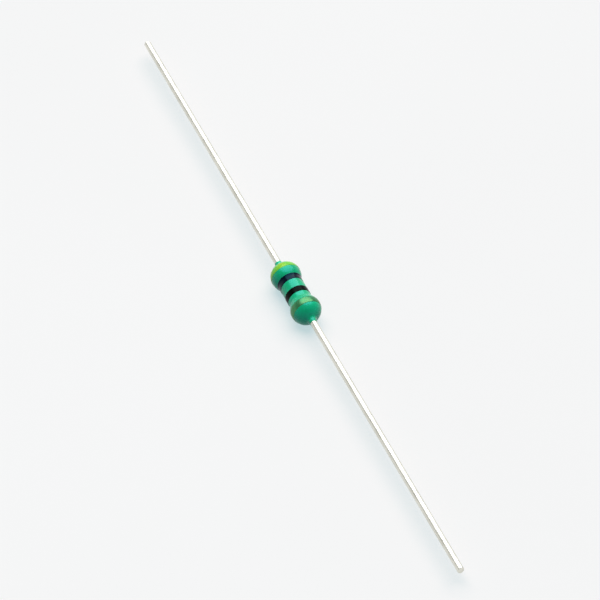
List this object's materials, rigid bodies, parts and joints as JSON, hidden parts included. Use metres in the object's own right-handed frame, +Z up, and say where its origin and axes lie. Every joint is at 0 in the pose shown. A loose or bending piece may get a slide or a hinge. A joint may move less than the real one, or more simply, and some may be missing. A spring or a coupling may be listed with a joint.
{
  "type": "axial resistor",
  "caption": "Dog-bone axial film resistor in glossy green lacquer with four painted colour bands and straight tinned wire leads.",
  "frame": {"origin": "middle of the body, on the axis of its leads", "axes": "+X along the leads, from the first colour band towards the tolerance band; +Z up; the part is alike all round its X axis"},
  "size_m": [0.0624, 0.0024, 0.0024],
  "materials": {
    "ceramic": "bare, matte, cream-white",
    "film": "thin carbon film, dark grey, satin",
    "cap_metal": "drawn and tinned, dull silver",
    "lead_wire": "tinned wire, soft silver sheen with fine drawing lines",
    "lacquer": "glossy blue-green lacquer, slightly uneven",
    "yellow_paint": "printed paint, yellow that the green below tints",
    "violet_paint": "printed paint, very dark violet-blue",
    "black_paint": "printed paint, black",
    "gold_paint": "printed paint, dull metallic gold"
  },
  "bodies": {
    "root": {"ceramic_rod": "ceramic", "resistive_film": "film", "left_end_cap": "cap_metal", "right_end_cap": "cap_metal", "left_lead": "lead_wire", "right_lead": "lead_wire", "coating": "lacquer", "first_digit_band": "yellow_paint", "second_digit_band": "violet_paint", "multiplier_band": "black_paint", "tolerance_band": "gold_paint"}
  },
  "joints": []
}
